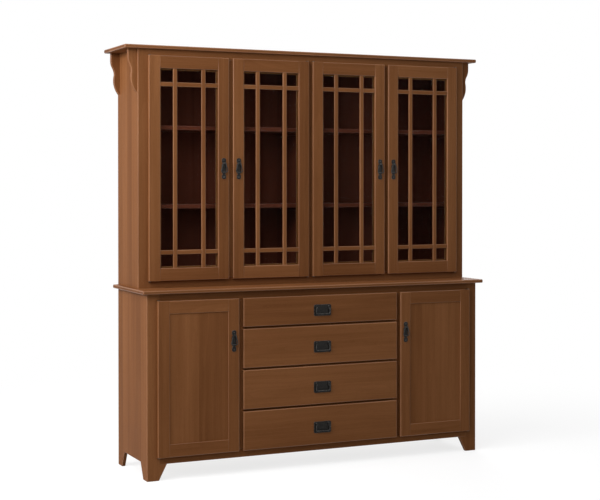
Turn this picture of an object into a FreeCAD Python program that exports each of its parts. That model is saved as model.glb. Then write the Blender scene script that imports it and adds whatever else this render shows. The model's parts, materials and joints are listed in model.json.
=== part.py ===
"""Dresser with glazed hutch: face-framed base with cupboards and drawers, four-door hutch on top."""
import FreeCAD, Part

import os
import re

import Sketcher

# Driving sizes, in millimetres
SIZES = {
    # Overall
    "base_width": 1829,
    "base_depth": 455,
    "base_height": 910,
    "hutch_depth": 323,
    "total_height": 2087,
    # Boards
    "top_thickness": 18,
    "board_thickness": 18,
    "back_thickness": 6,
    "shelf_thickness": 20,
    "frame_thickness": 20,
    "front_thickness": 19,
    # Overhangs of the two top boards
    "base_top_side_overhang": 28,
    "base_top_front_overhang": 29,
    "hutch_top_side_overhang": 72,
    "hutch_top_front_overhang": 22,
    # Layout of the fronts on the face frames
    "side_reveal": 49.5,
    "door_spacing": 21.5,
    "overlay": 12,
    "overlay_gap": 1.5,
    "hutch_top_reveal": 30,
    "hutch_bottom_reveal": 34,
    "base_top_reveal": 33,
    "front_bottom": 111,
    "drawer_spacing": 10,
    "top_drawer_height": 142,
    # Feet
    "foot_height": 78,
    "foot_bottom_width": 60,
    "foot_top_width": 100,
    # Door frames and glazing
    "stile_width": 58,
    "rail_width": 62.5,
    "muntin_width": 21,
    "muntin_depth": 9,
    "muntin_setback": 2,
    "corner_pane": 66,
    "glass_thickness": 3,
    "glass_clearance": 0.8,
    "bead_width": 8,
    # Cupboard door panels
    "panel_thickness": 8,
    "panel_setback": 5,
    "groove_depth": 8,
    "panel_clearance": 0.3,
    # Pivot hinges
    "pin_diameter": 5,
    "pin_fit": 0.05,
    "pin_length": 12,
    "pin_end_gap": 0.5,
    "pin_from_edge": 5.5,
    "pin_from_front": 6.5,
    "hinge_thickness": 2.5,
    "hinge_width": 9,
    "hinge_gap": 0.3,
    "hinge_tail": 15,
    # Catches
    "catch_length": 40,
    "catch_height": 14,
    "catch_depth": 14,
    "catch_inset": 30,
    # Drawer boxes and runners
    "box_thickness": 12,
    "box_bottom_thickness": 6,
    "box_bottom_rise": 8,
    "drawer_side_gap": 12,
    "drawer_under_gap": 8,
    "drawer_over_gap": 14,
    "drawer_rear_gap": 25,
    "runner_height": 16,
    "runner_entry": 6,
    "runner_gap": 0.3,
    "runner_rise": 36,
    # Shelves
    "shelf_front_gap": 18,
    "shelf_end_gap": 0.5,
    "cleat_size": 15,
    # Corbels
    "corbel_reach": 45,
    "corbel_height": 212,
    "corbel_thickness": 19,
    "corbel_inset": 14,
    "corbel_straight": 38,
    "corbel_waist_reach": 26.5,
    "corbel_waist_drop": 108,
    "corbel_belly_reach": 29,
    "corbel_belly_drop": 150,
    # Parts that all pulls share
    "plate_thickness": 3,
    "plate_corner": 5,
    "pivot_standoff": 6,
    "pivot_diameter": 3,
    "pivot_fit": 0.05,
    "lug_width": 4,
    "lug_height": 8,
    "lug_gap": 0.3,
    "bail_thickness": 5,
    "eye_reach": 3.5,
    # Drawer pulls
    "drawer_plate_width": 95,
    "drawer_plate_height": 57,
    "drawer_pivot_rise": 11,
    "drawer_bail_width": 82,
    "drawer_bail_drop": 32,
    "drawer_bail_rod": 6,
    "drawer_bail_corner": 10,
    "drawer_pull_below": 10,
    "top_drawer_pull_below": 4,
    # Door pulls
    "door_plate_width": 24,
    "door_plate_height": 104,
    "plate_end_width": 22,
    "plate_end_height": 14,
    "plate_neck_width": 11,
    "plate_neck_height": 12,
    "door_pivot_rise": 27,
    "door_bail_top_width": 20,
    "door_bail_bottom_width": 42,
    "door_bail_drop": 47,
    "door_bail_rod": 5,
    "door_bail_corner": 8,
    "base_pull_drop": 207,
}

# Counts of what repeats
DOOR_COLUMNS = 4
DRAWER_COUNT = 4
HUTCH_SHELF_COUNT = 2

# Places worked out from the driving sizes; the origin is under the middle of the whole object
DERIVED = {
    "half_width": "base_width / 2",
    "pull_reach": "plate_thickness + pivot_standoff + bail_thickness / 2",
    "front_reach": "max(overlay_gap + front_thickness + pull_reach; base_top_front_overhang)",
    "base_front": "(front_reach - base_depth) / 2",
    "back_face": "base_front + base_depth",
    "hutch_front": "back_face - hutch_depth",
    "base_inside": "base_front + frame_thickness",
    "hutch_inside": "hutch_front + frame_thickness",
    "back_inside": "back_face - back_thickness",
    "side_inside": "half_width - board_thickness",
    "base_under_top": "base_height - top_thickness",
    "hutch_under_top": "total_height - top_thickness",
    "front_edge": "half_width - side_reveal",
    "stile_inside": "front_edge - overlay",
    "door_width": f"(2 * front_edge - {DOOR_COLUMNS - 1} * door_spacing) / {DOOR_COLUMNS}",
    "drawer_half": "front_edge - door_width - door_spacing",
    "bay_half": "drawer_half - overlay",
    "base_door_top": "base_under_top - base_top_reveal",
    "hutch_door_top": "hutch_under_top - hutch_top_reveal",
    "hutch_door_bottom": "base_height + hutch_bottom_reveal",
    "floor_top": "front_bottom + overlay",
    "hutch_floor_top": "base_height + board_thickness",
    "lower_drawers": "base_door_top - front_bottom - top_drawer_height",
    "lower_drawer_height": f"lower_drawers / {DRAWER_COUNT - 1} - drawer_spacing",
    "box_half": "bay_half - drawer_side_gap",
    "box_front": "base_front - overlay_gap",
    "box_back": "back_inside - drawer_rear_gap",
    "hutch_shelf_space": f"hutch_under_top - hutch_floor_top - {HUTCH_SHELF_COUNT} * shelf_thickness",
    "shelf_bay": f"hutch_shelf_space / {HUTCH_SHELF_COUNT + 1}",
    "hole_diameter": "pin_diameter + 2 * pin_fit",
    "bore_diameter": "pivot_diameter + 2 * pivot_fit",
}

LEFT, RIGHT = -1, 1
SIDES = ((LEFT, "left"), (RIGHT, "right"))
ENDS = ("top", "bottom")

# Point numbers of a sketched line or arc
START, END, CENTRE = range(1, 4)

doc = FreeCAD.newDocument("Dresser")
sheet = doc.addObject("Spreadsheet::Sheet", "Sizes")
nodes = []


def fill_sheet():
    """Write every size and derived place into its own named cell."""
    rows = [(name, str(value)) for name, value in SIZES.items()]
    rows += [(name, "=" + formula) for name, formula in DERIVED.items()]
    for row, (name, text) in enumerate(rows, start=1):
        sheet.set(f"A{row}", name)
        sheet.set(f"B{row}", text)
        sheet.setAlias(f"B{row}", name)
    doc.recompute()


def linked(formula):
    """Point each size named in a formula at its cell."""
    def cell(word):
        name = word.group()
        return f"Sizes.{name}" if name in SIZES or name in DERIVED else name
    return re.sub(r"[a-z][a-z0-9_]*", cell, formula)


def value(formula):
    """Present value of a formula, as a plain number."""
    return float(sheet.evalExpression(linked(formula)))


def bind(item, prop, formula):
    item.setExpression(prop, linked(formula))


def place(item, x, y, z):
    bind(item, "Placement.Base.x", x)
    bind(item, "Placement.Base.y", y)
    bind(item, "Placement.Base.z", z)
    return item


def box(name, x_span, y_span, z_span):
    """Rectangular piece between two planes in each direction."""
    item = doc.addObject("Part::Box", name)
    for prop, (low, high) in zip(("Length", "Width", "Height"), (x_span, y_span, z_span)):
        bind(item, prop, f"({high}) - ({low})")
    return place(item, x_span[0], y_span[0], z_span[0])


def rod(name, diameter, length, x, y, z, along_x=False):
    """Round piece that starts at a point and runs up, or along X."""
    item = doc.addObject("Part::Cylinder", name)
    bind(item, "Radius", f"({diameter}) / 2")
    bind(item, "Height", length)
    if along_x:
        quarter_turn = FreeCAD.Rotation(FreeCAD.Vector(0, 1, 0), 90)
        item.Placement = FreeCAD.Placement(FreeCAD.Vector(), quarter_turn)
    return place(item, x, y, z)


def start_sketch(body, plane):
    """Sketch on one of a body's own origin planes."""
    sketch = body.newObject("Sketcher::SketchObject", f"{body.Name}_outline")
    support = next(item for item in body.Origin.OriginFeatures if item.Role == plane)
    sketch.AttachmentSupport = [(support, "")]
    sketch.MapMode = "FlatFace"
    return sketch


def fix_point(sketch, line, end, u, v):
    """Hold one end of a line or arc at a place given by two formulas."""
    for kind, formula in (("DistanceX", u), ("DistanceY", v)):
        rule = sketch.addConstraint(Sketcher.Constraint(kind, line, end, value(formula)))
        bind(sketch, f"Constraints[{rule}]", formula)


def pad_sketch(body, sketch, thickness, reverse):
    pad = body.newObject("PartDesign::Pad", f"{body.Name}_pad")
    pad.Profile = sketch
    pad.Reversed = reverse
    bind(pad, "Length", thickness)
    return body


def plate(name, plane, points, thickness, reverse=False):
    """Flat piece with a straight-sided outline."""
    body = doc.addObject("PartDesign::Body", name)
    sketch = start_sketch(body, plane)
    corners = [FreeCAD.Vector(value(u), value(v), 0) for u, v in points]
    followers = list(range(1, len(points))) + [0]
    for index, following in enumerate(followers):
        sketch.addGeometry(Part.LineSegment(corners[index], corners[following]), False)
    for index, following in enumerate(followers):
        sketch.addConstraint(Sketcher.Constraint("Coincident", index, END, following, START))
        fix_point(sketch, index, START, *points[index])
    return pad_sketch(body, sketch, thickness, reverse)


def group(name, pieces):
    """Separate pieces that share one name."""
    item = doc.addObject("Part::Compound", name)
    item.Links = pieces
    return item


def cut(name, base, tools):
    item = doc.addObject("Part::Cut", name)
    item.Base = base
    item.Tool = group(f"{name}_tools", tools)
    return item


def fuse(name, pieces):
    item = doc.addObject("Part::MultiFuse", name)
    item.Shapes = pieces
    return item


def node(item):
    """Mark an object as a finished sub-part."""
    nodes.append(item)
    return item


def sided(side, near, far):
    """Span between two distances from the middle, on the left or the right."""
    if side == RIGHT:
        return near, far
    return f"-({far})", f"-({near})"


def around(middle, width):
    """Span of a width about a middle."""
    return f"{middle} - ({width}) / 2", f"{middle} + ({width}) / 2"


# Doors: which face frame each hangs on, its place and the side its hinges are on
DOORS = [
    {"name": "hutch_door_1", "glazed": True, "left": "-front_edge", "hinge": LEFT},
    {"name": "hutch_door_2", "glazed": True, "left": "-door_spacing / 2 - door_width", "hinge": RIGHT},
    {"name": "hutch_door_3", "glazed": True, "left": "door_spacing / 2", "hinge": LEFT},
    {"name": "hutch_door_4", "glazed": True, "left": "front_edge - door_width", "hinge": RIGHT},
    {"name": "left_cupboard_door", "glazed": False, "left": "-front_edge", "hinge": LEFT},
    {"name": "right_cupboard_door", "glazed": False, "left": "front_edge - door_width", "hinge": RIGHT},
]


def complete_door(door):
    """Work out a door's edges, face, hinge axis and pull place."""
    plane = "hutch_front" if door["glazed"] else "base_front"
    door["plane"] = plane
    door["bottom"] = "hutch_door_bottom" if door["glazed"] else "front_bottom"
    door["top"] = "hutch_door_top" if door["glazed"] else "base_door_top"
    door["right"] = f"{door['left']} + door_width"
    door["back"] = f"{plane} - overlay_gap"
    door["face"] = f"{plane} - overlay_gap - front_thickness"
    door["pin_y"] = f"{door['face']} + pin_from_front"
    if door["hinge"] == LEFT:
        door["pin_x"] = f"{door['left']} + pin_from_edge"
        door["pull_x"] = f"{door['right']} - stile_width / 2"
        door["catch_x"] = f"{door['right']} - overlay - catch_inset - catch_length / 2"
    else:
        door["pin_x"] = f"{door['right']} - pin_from_edge"
        door["pull_x"] = f"{door['left']} + stile_width / 2"
        door["catch_x"] = f"{door['left']} + overlay + catch_inset + catch_length / 2"
    if door["glazed"]:
        door["pull_z"] = "(hutch_door_bottom + hutch_door_top) / 2"
    else:
        door["pull_z"] = "base_door_top - base_pull_drop"


def hinge_leaf_spans(door, end):
    """Three spans of the flat hinge leaf at the top or bottom of a door."""
    if end == "top":
        z_span = (f"{door['top']} + hinge_gap", f"{door['top']} + hinge_gap + hinge_thickness")
    else:
        z_span = (f"{door['bottom']} - hinge_gap - hinge_thickness", f"{door['bottom']} - hinge_gap")
    y_span = (f"{door['pin_y']} - hinge_width / 2", f"{door['plane']} + hinge_tail")
    return around(door["pin_x"], "hinge_width"), y_span, z_span


def hinge_slots(doors, ends):
    """Slots in a face frame that take the tails of these doors' hinge leaves."""
    slots = []
    for door in doors:
        for end in ends:
            x_span, y_span, z_span = hinge_leaf_spans(door, end)
            tail = (door["plane"], y_span[1])
            slots.append(box(f"{door['name']}_{end}_slot", x_span, tail, z_span))
    return slots


def make_hinges():
    """Flat leaves let into the face frames, each with a pin that runs in the end of the door."""
    hinges = []
    for door in DOORS:
        for end in ENDS:
            name = f"{door['name']}_{end}_hinge"
            x_span, y_span, z_span = hinge_leaf_spans(door, end)
            leaf = box(f"{name}_leaf", x_span, y_span, z_span)
            start = f"{door['top']} - pin_length" if end == "top" else z_span[0]
            length = "pin_length + hinge_gap + hinge_thickness"
            pin = rod(f"{name}_pin", "pin_diameter", length, door["pin_x"], door["pin_y"], start)
            hinges.append(fuse(name, [leaf, pin]))
    node(group("door_hinges", hinges))


def make_catches():
    """Small catches under the top rails, behind the free edge of each door."""
    catches = []
    for door in DOORS:
        top = f"{door['top']} - overlay"
        catches.append(box(f"{door['name']}_catch", around(door["catch_x"], "catch_length"),
                           (door["plane"], f"{door['plane']} + catch_depth"),
                           (f"{top} - catch_height", top)))
    node(group("door_catches", catches))


def door_frame_members(door):
    """Two stiles, the hinged one bored for its pins, and two rails between them."""
    name = door["name"]
    depth = (door["face"], door["back"])
    stile_z = (door["bottom"], door["top"])
    left = (door["left"], f"{door['left']} + stile_width")
    right = (f"{door['right']} - stile_width", door["right"])
    members = {
        "left_stile": box(f"{name}_left_stile", left, depth, stile_z),
        "right_stile": box(f"{name}_right_stile", right, depth, stile_z),
        "top_rail": box(f"{name}_top_rail", (left[1], right[0]), depth,
                        (f"{door['top']} - rail_width", door["top"])),
        "bottom_rail": box(f"{name}_bottom_rail", (left[1], right[0]), depth,
                           (door["bottom"], f"{door['bottom']} + rail_width")),
    }
    hung = "left_stile" if door["hinge"] == LEFT else "right_stile"
    depth_of_hole = "pin_length + pin_end_gap"
    starts = {"bottom": door["bottom"], "top": f"{door['top']} - ({depth_of_hole})"}
    holes = [
        rod(f"{name}_{end}_hole", "hole_diameter", depth_of_hole, door["pin_x"], door["pin_y"], starts[end])
        for end in ENDS
    ]
    members[hung] = cut(f"{name}_hung_stile", members[hung], holes)
    return members


def make_glass_door(door):
    """Framed glass with a grille of bars before it and beads behind it."""
    name = door["name"]
    members = list(door_frame_members(door).values())
    x_low = f"{door['left']} + stile_width"
    x_high = f"{door['right']} - stile_width"
    z_low = f"{door['bottom']} + rail_width"
    z_high = f"{door['top']} - rail_width"
    grille_y = (f"{door['face']} + muntin_setback", f"{door['face']} + muntin_setback + muntin_depth")
    glass_y = (grille_y[1], f"{grille_y[1]} + glass_thickness")
    bead_y = (glass_y[1], door["back"])
    left_bar = (f"{x_low} + corner_pane", f"{x_low} + corner_pane + muntin_width")
    right_bar = (f"{x_high} - corner_pane - muntin_width", f"{x_high} - corner_pane")
    lower_bar = (f"{z_low} + corner_pane", f"{z_low} + corner_pane + muntin_width")
    upper_bar = (f"{z_high} - corner_pane - muntin_width", f"{z_high} - corner_pane")
    members.append(box(f"{name}_left_bar", left_bar, grille_y, (z_low, z_high)))
    members.append(box(f"{name}_right_bar", right_bar, grille_y, (z_low, z_high)))
    cross_spans = {
        "left": (x_low, left_bar[0]),
        "middle": (left_bar[1], right_bar[0]),
        "right": (right_bar[1], x_high),
    }
    for level, z_span in (("lower", lower_bar), ("upper", upper_bar)):
        for part, x_span in cross_spans.items():
            members.append(box(f"{name}_{level}_{part}_bar", x_span, grille_y, z_span))
    bead_left = (x_low, f"{x_low} + bead_width")
    bead_right = (f"{x_high} - bead_width", x_high)
    members.append(box(f"{name}_left_bead", bead_left, bead_y, (z_low, z_high)))
    members.append(box(f"{name}_right_bead", bead_right, bead_y, (z_low, z_high)))
    bead_between = (bead_left[1], bead_right[0])
    members.append(box(f"{name}_lower_bead", bead_between, bead_y, (z_low, f"{z_low} + bead_width")))
    members.append(box(f"{name}_upper_bead", bead_between, bead_y, (f"{z_high} - bead_width", z_high)))
    node(group(f"{name}_frame", members))
    node(box(f"{name}_glass", (f"{x_low} + glass_clearance", f"{x_high} - glass_clearance"), glass_y,
             (f"{z_low} + glass_clearance", f"{z_high} - glass_clearance")))


def make_panel_door(door):
    """Framed flat panel held in a groove all round."""
    name = door["name"]
    front = f"{door['face']} + panel_setback"
    inset = "stile_width - groove_depth"
    x_span = (f"{door['left']} + {inset}", f"{door['right']} - ({inset})")
    z_span = (f"{door['bottom']} + rail_width - groove_depth", f"{door['top']} - rail_width + groove_depth")
    spans = (x_span, (front, f"{front} + panel_thickness"), z_span)
    groove_spans = [(f"{low} - panel_clearance", f"{high} + panel_clearance") for low, high in spans]
    members = []
    for part, member in door_frame_members(door).items():
        groove = box(f"{name}_{part}_groove", *groove_spans)
        members.append(cut(f"{name}_grooved_{part}", member, [groove]))
    node(group(f"{name}_frame", members))
    node(box(f"{name}_panel", *spans))


def mirrored_outline(right_half):
    """Closed outline from its right half, listed from top to bottom."""
    return right_half + [(f"-({u})", v) for u, v in reversed(right_half)]


def drawer_plate_outline():
    """Rectangle with clipped corners."""
    half_w = "drawer_plate_width / 2"
    half_h = "drawer_plate_height / 2"
    return mirrored_outline([
        (f"{half_w} - plate_corner", half_h),
        (half_w, f"{half_h} - plate_corner"),
        (half_w, f"plate_corner - {half_h}"),
        (f"{half_w} - plate_corner", f"-{half_h}"),
    ])


def door_plate_outline():
    """Tall plate whose clipped ends are set off by narrow necks."""
    half_h = "door_plate_height / 2"
    end = "plate_end_width / 2"
    neck = "plate_neck_width / 2"
    shoulder = f"{half_h} - plate_corner - plate_end_height"
    waist = f"{shoulder} - plate_neck_height / 2"
    body = f"{shoulder} - plate_neck_height"
    upper = [
        (f"{end} - plate_corner", half_h),
        (end, f"{half_h} - plate_corner"),
        (end, shoulder),
        (neck, waist),
        ("door_plate_width / 2", body),
    ]
    lower = [(u, f"-({v})") for u, v in reversed(upper)]
    return mirrored_outline(upper + lower)


def bail_outline(top_width, bottom_width, drop, bar, corner):
    """Hanging loop, open at the top, with straight eyes about the pivot and clipped lower corners."""
    top = f"{top_width} / 2"
    bottom = f"{bottom_width} / 2"
    outer = [
        (top, "eye_reach"),
        (top, "-eye_reach"),
        (bottom, f"{corner} - {drop}"),
        (f"{bottom} - {corner}", f"-{drop}"),
    ]
    inner = [
        (f"{bottom} - {corner}", f"{bar} - {drop}"),
        (f"{bottom} - {bar}", f"{corner} - {drop}"),
        (f"{top} - {bar}", "-eye_reach"),
        (f"{top} - {bar}", "eye_reach"),
    ]
    left_inner = [(f"-({u})", v) for u, v in reversed(inner)]
    left_outer = [(f"-({u})", v) for u, v in reversed(outer)]
    return outer + left_outer + left_inner + inner


PULLS = {
    "drawer": {
        "plate": drawer_plate_outline(),
        "bail": bail_outline("drawer_bail_width", "drawer_bail_width", "drawer_bail_drop",
                             "drawer_bail_rod", "drawer_bail_corner"),
        "rise": "drawer_pivot_rise",
        "top_width": "drawer_bail_width",
        "bar": "drawer_bail_rod",
    },
    "door": {
        "plate": door_plate_outline(),
        "bail": bail_outline("door_bail_top_width", "door_bail_bottom_width", "door_bail_drop",
                             "door_bail_rod", "door_bail_corner"),
        "rise": "door_pivot_rise",
        "top_width": "door_bail_top_width",
        "bar": "door_bail_rod",
    },
}


def make_pull(name, kind, x, face, z):
    """Back plate with two lugs and their pins, and the loop that swings on the pins."""
    pull = PULLS[kind]
    back_plate = place(plate(f"{name}_back", "XZ_Plane", pull["plate"], "plate_thickness"), x, face, z)
    front = f"{face} - plate_thickness"
    pivot_y = f"{front} - pivot_standoff"
    pivot_z = f"{z} + {pull['rise']}"
    pieces = [back_plate]
    lug_far = f"{pull['top_width']} / 2 - {pull['bar']} - lug_gap"
    for side, side_name in SIDES:
        low, high = sided(side, f"{lug_far} - lug_width", lug_far)
        lug = box(f"{name}_{side_name}_lug", (f"{x} + ({low})", f"{x} + ({high})"),
                  (f"{pivot_y} - bail_thickness / 2", front), around(pivot_z, "lug_height"))
        pin_low, pin_high = sided(side, f"{lug_far} - lug_width", f"{pull['top_width']} / 2")
        pin = rod(f"{name}_{side_name}_pin", "pivot_diameter", f"{pin_high} - ({pin_low})",
                  f"{x} + ({pin_low})", pivot_y, pivot_z, along_x=True)
        pieces += [lug, pin]
    node(fuse(f"{name}_plate", pieces))
    loop = plate(f"{name}_loop", "XZ_Plane", pull["bail"], "bail_thickness")
    place(loop, x, f"{pivot_y} + bail_thickness / 2", pivot_z)
    bore = rod(f"{name}_bore", "bore_diameter", pull["top_width"],
               f"{x} - {pull['top_width']} / 2", pivot_y, pivot_z, along_x=True)
    node(cut(f"{name}_bail", loop, [bore]))


def drawer_levels(number):
    """Lower and upper edge of a drawer front, counted from the top."""
    if number == 1:
        return "base_door_top - top_drawer_height", "base_door_top"
    top = (f"base_door_top - top_drawer_height - drawer_spacing"
           f" - {number - 2} * (lower_drawer_height + drawer_spacing)")
    return f"{top} - lower_drawer_height", top


def runner_levels(number):
    """Lower and upper face of the runners that carry a drawer."""
    bottom = f"{drawer_levels(number)[0]} + overlay + drawer_under_gap + runner_rise"
    return bottom, f"{bottom} + runner_height"


def make_drawer(number):
    """Overlay front on a box of grooved sides, inner front, back and bottom."""
    name = f"drawer_{number}"
    low, high = drawer_levels(number)
    face = "box_front - front_thickness"
    node(box(f"{name}_front", ("-drawer_half", "drawer_half"), (face, "box_front"), (low, high)))
    z_span = (f"{low} + overlay + drawer_under_gap", f"{high} - overlay - drawer_over_gap")
    y_span = ("box_front", "box_back")
    runner_low, runner_high = runner_levels(number)
    pieces = []
    for side, side_name in SIDES:
        side_x = sided(side, "box_half - box_thickness", "box_half")
        groove_x = sided(side, "box_half - runner_entry", "box_half")
        groove_z = (f"{runner_low} - runner_gap", f"{runner_high} + runner_gap")
        blank = box(f"{name}_{side_name}_blank", side_x, y_span, z_span)
        groove = box(f"{name}_{side_name}_groove", groove_x, y_span, groove_z)
        pieces.append(cut(f"{name}_{side_name}_side", blank, [groove]))
    between = ("box_thickness - box_half", "box_half - box_thickness")
    front_end = (y_span[0], f"{y_span[0]} + box_thickness")
    back_end = (f"{y_span[1]} - box_thickness", y_span[1])
    pieces.append(box(f"{name}_inner_front", between, front_end, z_span))
    pieces.append(box(f"{name}_back", between, back_end, z_span))
    underside = f"{z_span[0]} + box_bottom_rise"
    pieces.append(box(f"{name}_bottom", between, (front_end[1], back_end[0]),
                      (underside, f"{underside} + box_bottom_thickness")))
    node(group(f"{name}_box", pieces))
    below = "top_drawer_pull_below" if number == 1 else "drawer_pull_below"
    make_pull(f"{name}_pull", "drawer", "0", face, f"({low} + {high}) / 2 - {below}")


def make_runners():
    """Wooden strips on the partitions that run in the drawer sides' grooves."""
    strips = []
    for number in range(1, DRAWER_COUNT + 1):
        for side, side_name in SIDES:
            strips.append(box(f"drawer_{number}_{side_name}_runner",
                              sided(side, "box_half - runner_entry + runner_gap", "bay_half"),
                              ("base_inside", "back_inside"), runner_levels(number)))
    node(group("drawer_runners", strips))


def make_base_face_frame():
    """Outer stiles with bracket feet, inner stiles, top and bottom rails and drawer rails."""
    depth = ("base_front", "base_inside")
    members = []
    for side, side_name in SIDES:
        sign = "-" if side == LEFT else ""
        outline = [
            (f"{sign}half_width", "0"),
            (f"{sign}(half_width - foot_bottom_width)", "0"),
            (f"{sign}(half_width - foot_top_width)", "foot_height"),
            (f"{sign}stile_inside", "foot_height"),
            (f"{sign}stile_inside", "base_under_top"),
            (f"{sign}half_width", "base_under_top"),
        ]
        stile = plate(f"base_{side_name}_stile_blank", "XZ_Plane", outline, "frame_thickness", reverse=True)
        place(stile, "0", "base_front", "0")
        hung = [door for door in DOORS if door["name"] == f"{side_name}_cupboard_door"]
        members.append(cut(f"base_{side_name}_stile", stile, hinge_slots(hung, ENDS)))
        inner = sided(side, "bay_half", "drawer_half + door_spacing + overlay")
        members.append(box(f"base_{side_name}_inner_stile", inner, depth,
                           ("floor_top", "base_door_top - overlay")))
    across = ("-stile_inside", "stile_inside")
    members.append(box("base_top_rail", across, depth, ("base_door_top - overlay", "base_under_top")))
    members.append(box("base_bottom_rail", across, depth, ("foot_height", "floor_top")))
    for number in range(1, DRAWER_COUNT):
        upper = drawer_levels(number)[0]
        lower = drawer_levels(number + 1)[1]
        members.append(box(f"drawer_rail_{number}", ("-bay_half", "bay_half"), depth,
                           (f"{lower} - overlay", f"{upper} + overlay")))
    node(group("base_face_frame", members))


def make_hutch_face_frame():
    """Outer and inner stiles with top and bottom rails."""
    depth = ("hutch_front", "hutch_inside")
    height = ("base_height", "hutch_under_top")
    between_rails = ("hutch_door_bottom + overlay", "hutch_door_top - overlay")
    members = []
    for side, side_name, door in ((LEFT, "left", DOORS[0]), (RIGHT, "right", DOORS[3])):
        outer = sided(side, "stile_inside", "half_width")
        stile = box(f"hutch_{side_name}_stile_blank", outer, depth, height)
        members.append(cut(f"hutch_{side_name}_stile", stile, hinge_slots([door], ENDS)))
        inner = sided(side, "bay_half", "drawer_half + door_spacing + overlay")
        members.append(box(f"hutch_{side_name}_inner_stile", inner, depth, between_rails))
    middle = around("0", "door_spacing + 2 * overlay")
    members.append(box("hutch_middle_stile", middle, depth, between_rails))
    across = ("-stile_inside", "stile_inside")
    top_rail = box("hutch_top_rail_blank", across, depth, (between_rails[1], height[1]))
    bottom_rail = box("hutch_bottom_rail_blank", across, depth, (height[0], between_rails[0]))
    members.append(cut("hutch_top_rail", top_rail, hinge_slots(DOORS[1:3], ["top"])))
    members.append(cut("hutch_bottom_rail", bottom_rail, hinge_slots(DOORS[1:3], ["bottom"])))
    node(group("hutch_face_frame", members))


def make_base_carcass():
    """Top, sides with cut-out legs, floor and partitions of the base."""
    node(box("base_top", around("0", "base_width + 2 * base_top_side_overhang"),
             ("base_front - base_top_front_overhang", "back_face"), ("base_under_top", "base_height")))
    outline = [
        ("base_inside", "0"),
        ("base_front + foot_bottom_width", "0"),
        ("base_front + foot_top_width", "foot_height"),
        ("back_face - foot_top_width", "foot_height"),
        ("back_face - foot_bottom_width", "0"),
        ("back_face", "0"),
        ("back_face", "base_under_top"),
        ("base_inside", "base_under_top"),
    ]
    for side, side_name in SIDES:
        panel = plate(f"base_{side_name}_side", "YZ_Plane", outline, "board_thickness")
        node(place(panel, sided(side, "side_inside", "half_width")[0], "0", "0"))
    inside_y = ("base_inside", "back_inside")
    node(box("base_floor", ("-side_inside", "side_inside"), inside_y,
             ("floor_top - board_thickness", "floor_top")))
    node(group("base_partitions", [
        box(f"base_{side_name}_partition", sided(side, "bay_half", "bay_half + board_thickness"), inside_y,
            ("floor_top", "base_under_top"))
        for side, side_name in SIDES
    ]))


def make_hutch_carcass():
    """Top, sides, floor and centre partition of the hutch."""
    node(box("hutch_top", around("0", "base_width + 2 * hutch_top_side_overhang"),
             ("hutch_front - hutch_top_front_overhang", "back_face"), ("hutch_under_top", "total_height")))
    for side, side_name in SIDES:
        node(box(f"hutch_{side_name}_side", sided(side, "side_inside", "half_width"),
                 ("hutch_inside", "back_face"), ("base_height", "hutch_under_top")))
    inside_y = ("hutch_inside", "back_inside")
    node(box("hutch_floor", ("-side_inside", "side_inside"), inside_y, ("base_height", "hutch_floor_top")))
    node(box("hutch_partition", around("0", "board_thickness"), inside_y,
             ("hutch_floor_top", "hutch_under_top")))


def make_backs():
    across = ("-side_inside", "side_inside")
    depth = ("back_inside", "back_face")
    node(group("back_panels", [
        box("base_back", across, depth, ("floor_top - board_thickness", "base_under_top")),
        box("hutch_back", across, depth, ("base_height", "hutch_under_top")),
    ]))


def make_shelves():
    """Loose shelves of the hutch and the cupboards, and the cleats under their ends."""
    cleats = []

    def shelf(name, side, near, far, front, bottom):
        y_span = (f"{front} + shelf_front_gap", "back_inside - shelf_end_gap")
        ends = {"near": (near, f"{near} + cleat_size"), "far": (f"{far} - cleat_size", far)}
        for end, (inner, outer) in ends.items():
            cleats.append(box(f"{name}_{end}_cleat", sided(side, inner, outer), y_span,
                              (f"{bottom} - cleat_size", bottom)))
        return box(name, sided(side, f"{near} + shelf_end_gap", f"{far} - shelf_end_gap"), y_span,
                   (bottom, f"{bottom} + shelf_thickness"))

    hutch_shelves = []
    cupboard_shelves = []
    for side, side_name in SIDES:
        for number in range(1, HUTCH_SHELF_COUNT + 1):
            bottom = f"hutch_floor_top + {number} * shelf_bay + {number - 1} * shelf_thickness"
            hutch_shelves.append(shelf(f"hutch_{side_name}_shelf_{number}", side, "board_thickness / 2",
                                       "side_inside", "hutch_inside", bottom))
        middle = "(floor_top + base_under_top - shelf_thickness) / 2"
        cupboard_shelves.append(shelf(f"{side_name}_cupboard_shelf", side, "bay_half + board_thickness",
                                      "side_inside", "base_inside", middle))
    node(group("hutch_shelves", hutch_shelves))
    node(group("cupboard_shelves", cupboard_shelves))
    node(group("shelf_cleats", cleats))


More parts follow.
